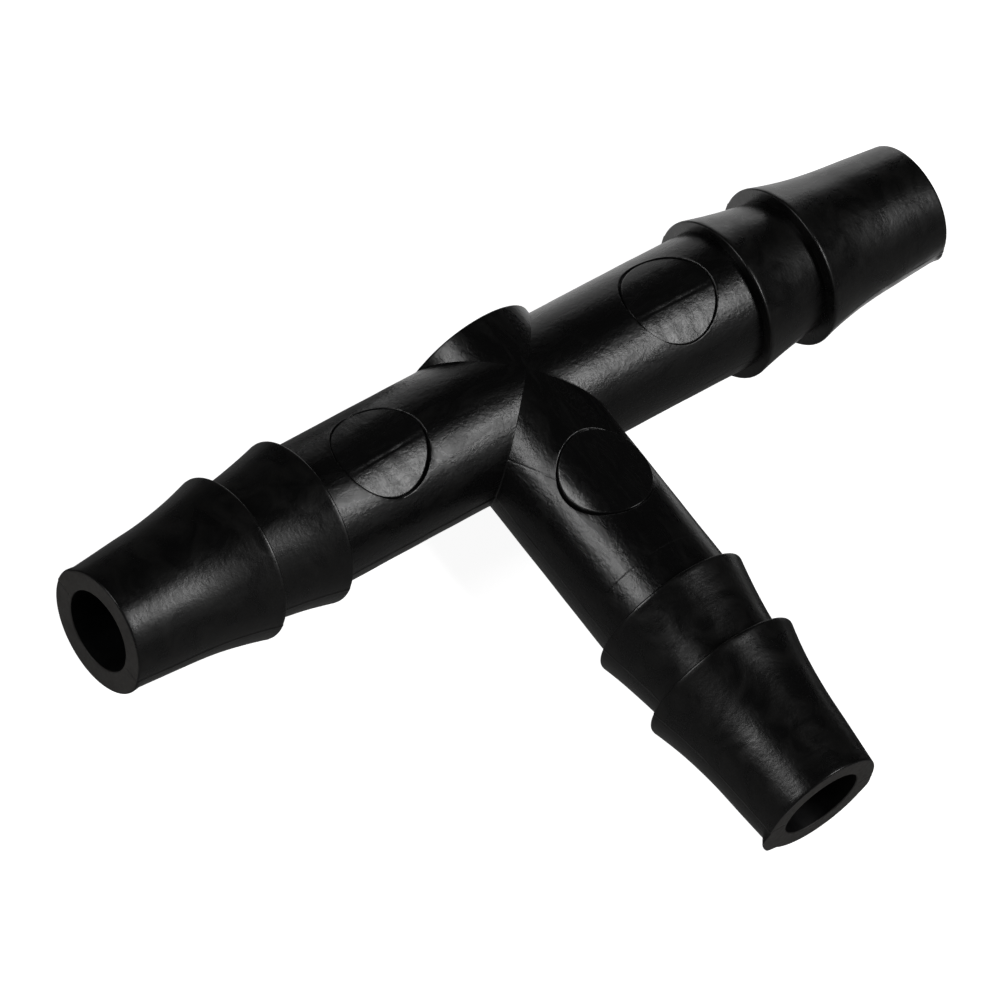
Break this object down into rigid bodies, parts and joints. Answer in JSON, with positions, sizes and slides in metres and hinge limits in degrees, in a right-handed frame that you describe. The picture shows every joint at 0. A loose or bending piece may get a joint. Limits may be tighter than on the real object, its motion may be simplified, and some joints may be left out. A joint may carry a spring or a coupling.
{
  "type": "barbed tee connector",
  "caption": "Small black plastic tee that joins three soft irrigation tubes, with a stepped cone barb at each open end and a round boss behind the branch.",
  "frame": {"origin": "crossing of the run axis and the branch axis, in the parting plane", "axes": "+X along the run, -Y along the branch, +Z out of the tee plane on the side with the ejector marks"},
  "size_m": [0.0316, 0.0184, 0.0052],
  "materials": {
    "black_plastic": "satin injection-moulded black polyethylene or acetal, slightly scuffed"
  },
  "bodies": {
    "root": {"back_boss": "black_plastic", "left_run_pipe": "black_plastic", "left_inner_barb": "black_plastic", "left_tip_barb": "black_plastic", "right_run_pipe": "black_plastic", "right_inner_barb": "black_plastic", "right_tip_barb": "black_plastic", "branch_pipe": "black_plastic", "branch_inner_barb": "black_plastic", "branch_tip_barb": "black_plastic"}
  },
  "joints": []
}
